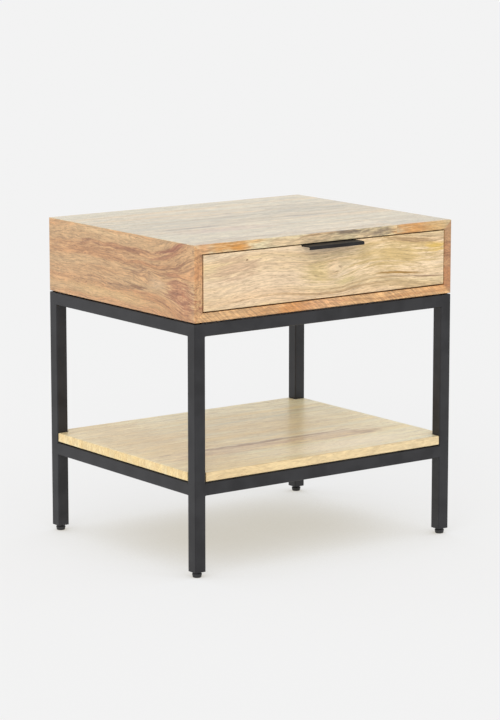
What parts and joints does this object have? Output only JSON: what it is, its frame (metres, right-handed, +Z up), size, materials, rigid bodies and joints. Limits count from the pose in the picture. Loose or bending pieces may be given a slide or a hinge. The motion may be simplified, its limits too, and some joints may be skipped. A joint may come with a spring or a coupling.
{
  "type": "side table with drawer",
  "caption": "Side table: a mitred solid-wood case with an inset drawer and a black edge pull, on a welded square-tube steel frame with a low wooden shelf.",
  "frame": {"origin": "on the floor, in the middle of the footprint with the drawer pull included", "axes": "+X to the right seen from the drawer side, +Y to the back, +Z up"},
  "size_m": [0.56, 0.474, 0.572],
  "materials": {
    "case_top_wood": "satin lacquer",
    "case_wood": "satin lacquer",
    "drawer_front_wood": "satin lacquer",
    "shelf_wood": "satin lacquer",
    "box_wood": "sanded",
    "plywood": "sanded",
    "black_steel": "satin powder coat",
    "black_plastic": "moulded",
    "zinc_steel": "bright zinc"
  },
  "bodies": {
    "table": {"case_top": "case_top_wood", "case_bottom": "case_wood", "case_left_side": "case_wood", "case_right_side": "case_wood", "case_back": "case_wood", "case_mitre_dowels": "box_wood", "leg_front_left": "black_steel", "leg_front_right": "black_steel", "leg_back_left": "black_steel", "leg_back_right": "black_steel", "top_rail_front": "black_steel", "top_rail_back": "black_steel", "top_rail_left": "black_steel", "top_rail_right": "black_steel", "low_rail_front": "black_steel", "low_rail_back": "black_steel", "low_rail_left": "black_steel", "low_rail_right": "black_steel", "frame_welds": "black_steel", "leg_plugs": "black_plastic", "case_spacers": "black_plastic", "case_screws": "zinc_steel", "shelf": "shelf_wood", "shelf_spacers": "black_plastic", "shelf_screws": "zinc_steel", "left_runner_case_member": "zinc_steel", "right_runner_case_member": "zinc_steel", "runner_case_screws": "zinc_steel"},
    "drawer": {"drawer_front": "drawer_front_wood", "drawer_box_front": "box_wood", "drawer_left_side": "box_wood", "drawer_right_side": "box_wood", "drawer_back": "box_wood", "drawer_bottom": "plywood", "drawer_pull": "black_steel", "drawer_pull_screws": "black_steel", "drawer_front_screws": "zinc_steel", "drawer_corner_screws": "zinc_steel", "left_runner_drawer_member": "zinc_steel", "right_runner_drawer_member": "zinc_steel", "runner_drawer_screws": "zinc_steel"},
    "foot_front_left_body": {"foot_front_left": "black_plastic"},
    "foot_front_right_body": {"foot_front_right": "black_plastic"},
    "foot_back_left_body": {"foot_back_left": "black_plastic"},
    "foot_back_right_body": {"foot_back_right": "black_plastic"},
    "left_middle_member_body": {"left_runner_middle_member": "zinc_steel"},
    "left_outer_cage_body": {"left_runner_outer_cage": "zinc_steel"},
    "left_inner_cage_body": {"left_runner_inner_cage": "zinc_steel"},
    "right_middle_member_body": {"right_runner_middle_member": "zinc_steel"},
    "right_outer_cage_body": {"right_runner_outer_cage": "zinc_steel"},
    "right_inner_cage_body": {"right_runner_inner_cage": "zinc_steel"}
  },
  "joints": [
    {"name": "drawer_slide", "type": "slide", "parent": "table", "child": "drawer", "axis": [0, -1, 0], "range_m": [0, 0.4]},
    {"name": "left_outer_cage_slide", "type": "slide", "parent": "table", "child": "left_outer_cage_body", "axis": [0, -1, 0], "range_m": [0, 0.1]},
    {"name": "left_middle_member_slide", "type": "slide", "parent": "table", "child": "left_middle_member_body", "axis": [0, -1, 0], "range_m": [0, 0.2]},
    {"name": "left_inner_cage_slide", "type": "slide", "parent": "table", "child": "left_inner_cage_body", "axis": [0, -1, 0], "range_m": [0, 0.3]},
    {"name": "right_outer_cage_slide", "type": "slide", "parent": "table", "child": "right_outer_cage_body", "axis": [0, -1, 0], "range_m": [0, 0.1]},
    {"name": "right_middle_member_slide", "type": "slide", "parent": "table", "child": "right_middle_member_body", "axis": [0, -1, 0], "range_m": [0, 0.2]},
    {"name": "right_inner_cage_slide", "type": "slide", "parent": "table", "child": "right_inner_cage_body", "axis": [0, -1, 0], "range_m": [0, 0.3]},
    {"name": "foot_front_left_screw", "type": "slide", "parent": "table", "child": "foot_front_left_body", "axis": [0, 0, -1], "range_m": [0, 0.006]},
    {"name": "foot_front_right_screw", "type": "slide", "parent": "table", "child": "foot_front_right_body", "axis": [0, 0, -1], "range_m": [0, 0.006]},
    {"name": "foot_back_left_screw", "type": "slide", "parent": "table", "child": "foot_back_left_body", "axis": [0, 0, -1], "range_m": [0, 0.006]},
    {"name": "foot_back_right_screw", "type": "slide", "parent": "table", "child": "foot_back_right_body", "axis": [0, 0, -1], "range_m": [0, 0.006]}
  ],
  "couplings": [
    {"joint": "left_outer_cage_slide", "follows": "drawer_slide", "ratio": 0.25},
    {"joint": "left_middle_member_slide", "follows": "drawer_slide", "ratio": 0.5},
    {"joint": "left_inner_cage_slide", "follows": "drawer_slide", "ratio": 0.75},
    {"joint": "right_outer_cage_slide", "follows": "drawer_slide", "ratio": 0.25},
    {"joint": "right_middle_member_slide", "follows": "drawer_slide", "ratio": 0.5},
    {"joint": "right_inner_cage_slide", "follows": "drawer_slide", "ratio": 0.75}
  ]
}
